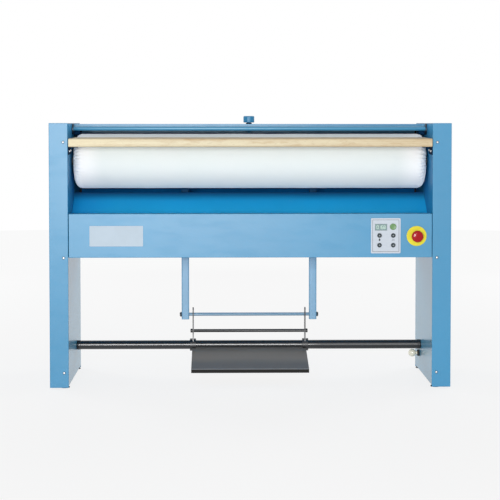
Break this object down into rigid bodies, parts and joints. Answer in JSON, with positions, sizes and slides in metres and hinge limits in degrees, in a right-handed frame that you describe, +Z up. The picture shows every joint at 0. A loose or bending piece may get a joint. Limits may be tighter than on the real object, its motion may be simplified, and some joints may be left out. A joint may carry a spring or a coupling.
{
  "type": "flatwork ironer",
  "caption": "Roll ironer: a padded roll between two side casings, a heated chest behind it closed by a foot pedal, a wooden feed board, a linen tray and push-button controls.",
  "frame": {"origin": "on the floor, in the middle of the machine's width and of its depth, stop button included", "axes": "+X to the right as the user faces the machine, +Y to the rear, +Z up"},
  "size_m": [1.646, 0.585, 1.1188],
  "materials": {
    "blue_paint": "semi-gloss powder coat",
    "dark_blue_paint": "semi-gloss powder coat in shade",
    "black_paint": "gloss black paint",
    "pedal_grey": "satin grey paint, worn by shoes",
    "zinc": "bright zinc plating",
    "steel": "plain steel",
    "aluminium": "polished ironing surface",
    "beech": "clear-lacquered beech",
    "padding": "white ironing cloth over felt",
    "rubber": "black rubber",
    "cast_grey": "grey machine paint",
    "plate_silver": "satin silver front plate",
    "display": "grey-green display window",
    "green_plastic": "green push button",
    "black_plastic": "dark push button",
    "yellow_plastic": "yellow disc",
    "red_plastic": "red mushroom head",
    "cream_plastic": "cream ball knob"
  },
  "bodies": {
    "frame": {"left_casing": "blue_paint", "left_inner_wall": "blue_paint", "left_front_foot": "rubber", "left_rear_foot": "rubber", "left_feed_bracket": "dark_blue_paint", "left_roll_bearing": "cast_grey", "left_chest_pivot_pin": "zinc", "right_casing": "blue_paint", "right_inner_wall": "blue_paint", "right_front_foot": "rubber", "right_rear_foot": "rubber", "right_feed_bracket": "dark_blue_paint", "right_roll_bearing": "cast_grey", "right_chest_pivot_pin": "zinc", "front_panel": "blue_paint", "linen_tray": "blue_paint", "rear_panel": "blue_paint", "bottom_cover": "dark_blue_paint", "top_cover": "blue_paint", "feed_board": "beech", "drive_chain": "steel", "gearmotor": "cast_grey", "cross_tube": "black_paint", "side_knob_base": "rubber", "control_plate": "plate_silver", "control_box": "cast_grey", "display_window": "display", "stop_disc": "yellow_plastic", "stop_contact_block": "cast_grey"},
    "finger_guard": {"guard_tube": "blue_paint", "left_guard_disc": "zinc", "right_guard_disc": "zinc"},
    "roll": {"roll_core": "steel", "roll_padding": "padding", "left_roll_end": "cast_grey", "right_roll_end": "cast_grey", "roll_sprocket": "steel"},
    "motor_output": {"motor_sprocket": "steel"},
    "chest": {"chest_shoe": "aluminium", "chest_cover": "dark_blue_paint", "heating_element_1": "steel", "heating_element_2": "steel", "left_chest_hanger": "dark_blue_paint", "right_chest_hanger": "dark_blue_paint", "left_arm": "blue_paint", "right_arm": "blue_paint", "tie_rod": "blue_paint"},
    "pedal": {"left_pedal_lever": "black_paint", "right_pedal_lever": "black_paint", "pedal_plate": "pedal_grey", "pedal_bar": "black_paint"},
    "top_knob_body": {"top_knob": "blue_paint"},
    "side_knob_body": {"side_knob": "cream_plastic"},
    "start_button_body": {"start_button": "green_plastic"},
    "upper_left_button": {"button_upper_left": "black_plastic"},
    "upper_right_button": {"button_upper_right": "black_plastic"},
    "lower_left_button": {"button_lower_left": "black_plastic"},
    "lower_right_button": {"button_lower_right": "black_plastic"},
    "stop_plunger": {"stop_stem": "cast_grey"},
    "stop_mushroom": {"stop_head": "red_plastic"}
  },
  "joints": [
    {"name": "roll_spin", "type": "hinge", "parent": "frame", "child": "roll", "pos_m": [0, -0.0525, 0.929], "axis": [1, 0, 0], "continuous": true, "deforming": ["drive_chain"]},
    {"name": "motor_spin", "type": "hinge", "parent": "frame", "child": "motor_output", "pos_m": [0, 0.13598, 0.65982], "axis": [1, 0, 0], "continuous": true},
    {"name": "chest_swing", "type": "hinge", "parent": "frame", "child": "chest", "pos_m": [0, 0.0175, 1.052], "axis": [1, 0, 0], "range_deg": [-1.34, 0]},
    {"name": "pedal_press", "type": "hinge", "parent": "frame", "child": "pedal", "pos_m": [0, 0.1165, 0.1272], "axis": [1, 0, 0], "range_deg": [0, 8]},
    {"name": "guard_tilt", "type": "hinge", "parent": "frame", "child": "finger_guard", "pos_m": [0, -0.0505, 1.0625], "axis": [1, 0, 0], "range_deg": [-25, 0]},
    {"name": "top_knob_turn", "type": "hinge", "parent": "frame", "child": "top_knob_body", "pos_m": [0, 0.1695, 1.09], "axis": [0, 0, 1], "range_deg": [-180, 180]},
    {"name": "side_knob_turn", "type": "hinge", "parent": "frame", "child": "side_knob_body", "pos_m": [0.72, 0.1525, 0.084], "axis": [1, 0, 0], "range_deg": [0, 270]},
    {"name": "start_press", "type": "slide", "parent": "frame", "child": "start_button_body", "axis": [0, 1, 0], "range_m": [0, 0.003], "stiffness_N_per_m": 300},
    {"name": "upper_left_press", "type": "slide", "parent": "frame", "child": "upper_left_button", "axis": [0, 1, 0], "range_m": [0, 0.003], "stiffness_N_per_m": 300},
    {"name": "upper_right_press", "type": "slide", "parent": "frame", "child": "upper_right_button", "axis": [0, 1, 0], "range_m": [0, 0.003], "stiffness_N_per_m": 300},
    {"name": "lower_left_press", "type": "slide", "parent": "frame", "child": "lower_left_button", "axis": [0, 1, 0], "range_m": [0, 0.003], "stiffness_N_per_m": 300},
    {"name": "lower_right_press", "type": "slide", "parent": "frame", "child": "lower_right_button", "axis": [0, 1, 0], "range_m": [0, 0.003], "stiffness_N_per_m": 300},
    {"name": "stop_press", "type": "slide", "parent": "frame", "child": "stop_plunger", "axis": [0, 1, 0], "range_m": [0, 0.006], "stiffness_N_per_m": 1500},
    {"name": "stop_twist", "type": "hinge", "parent": "stop_plunger", "child": "stop_mushroom", "pos_m": [0.6804, -0.2725, 0.6257], "axis": [0, 1, 0], "range_deg": [0, 45], "stiffness_Nm_per_rad": 0.05}
  ],
  "couplings": [
    {"joint": "motor_spin", "follows": "roll_spin", "ratio": 2},
    {"joint": "pedal_press", "follows": "chest_swing", "ratio": -5.9796}
  ]
}
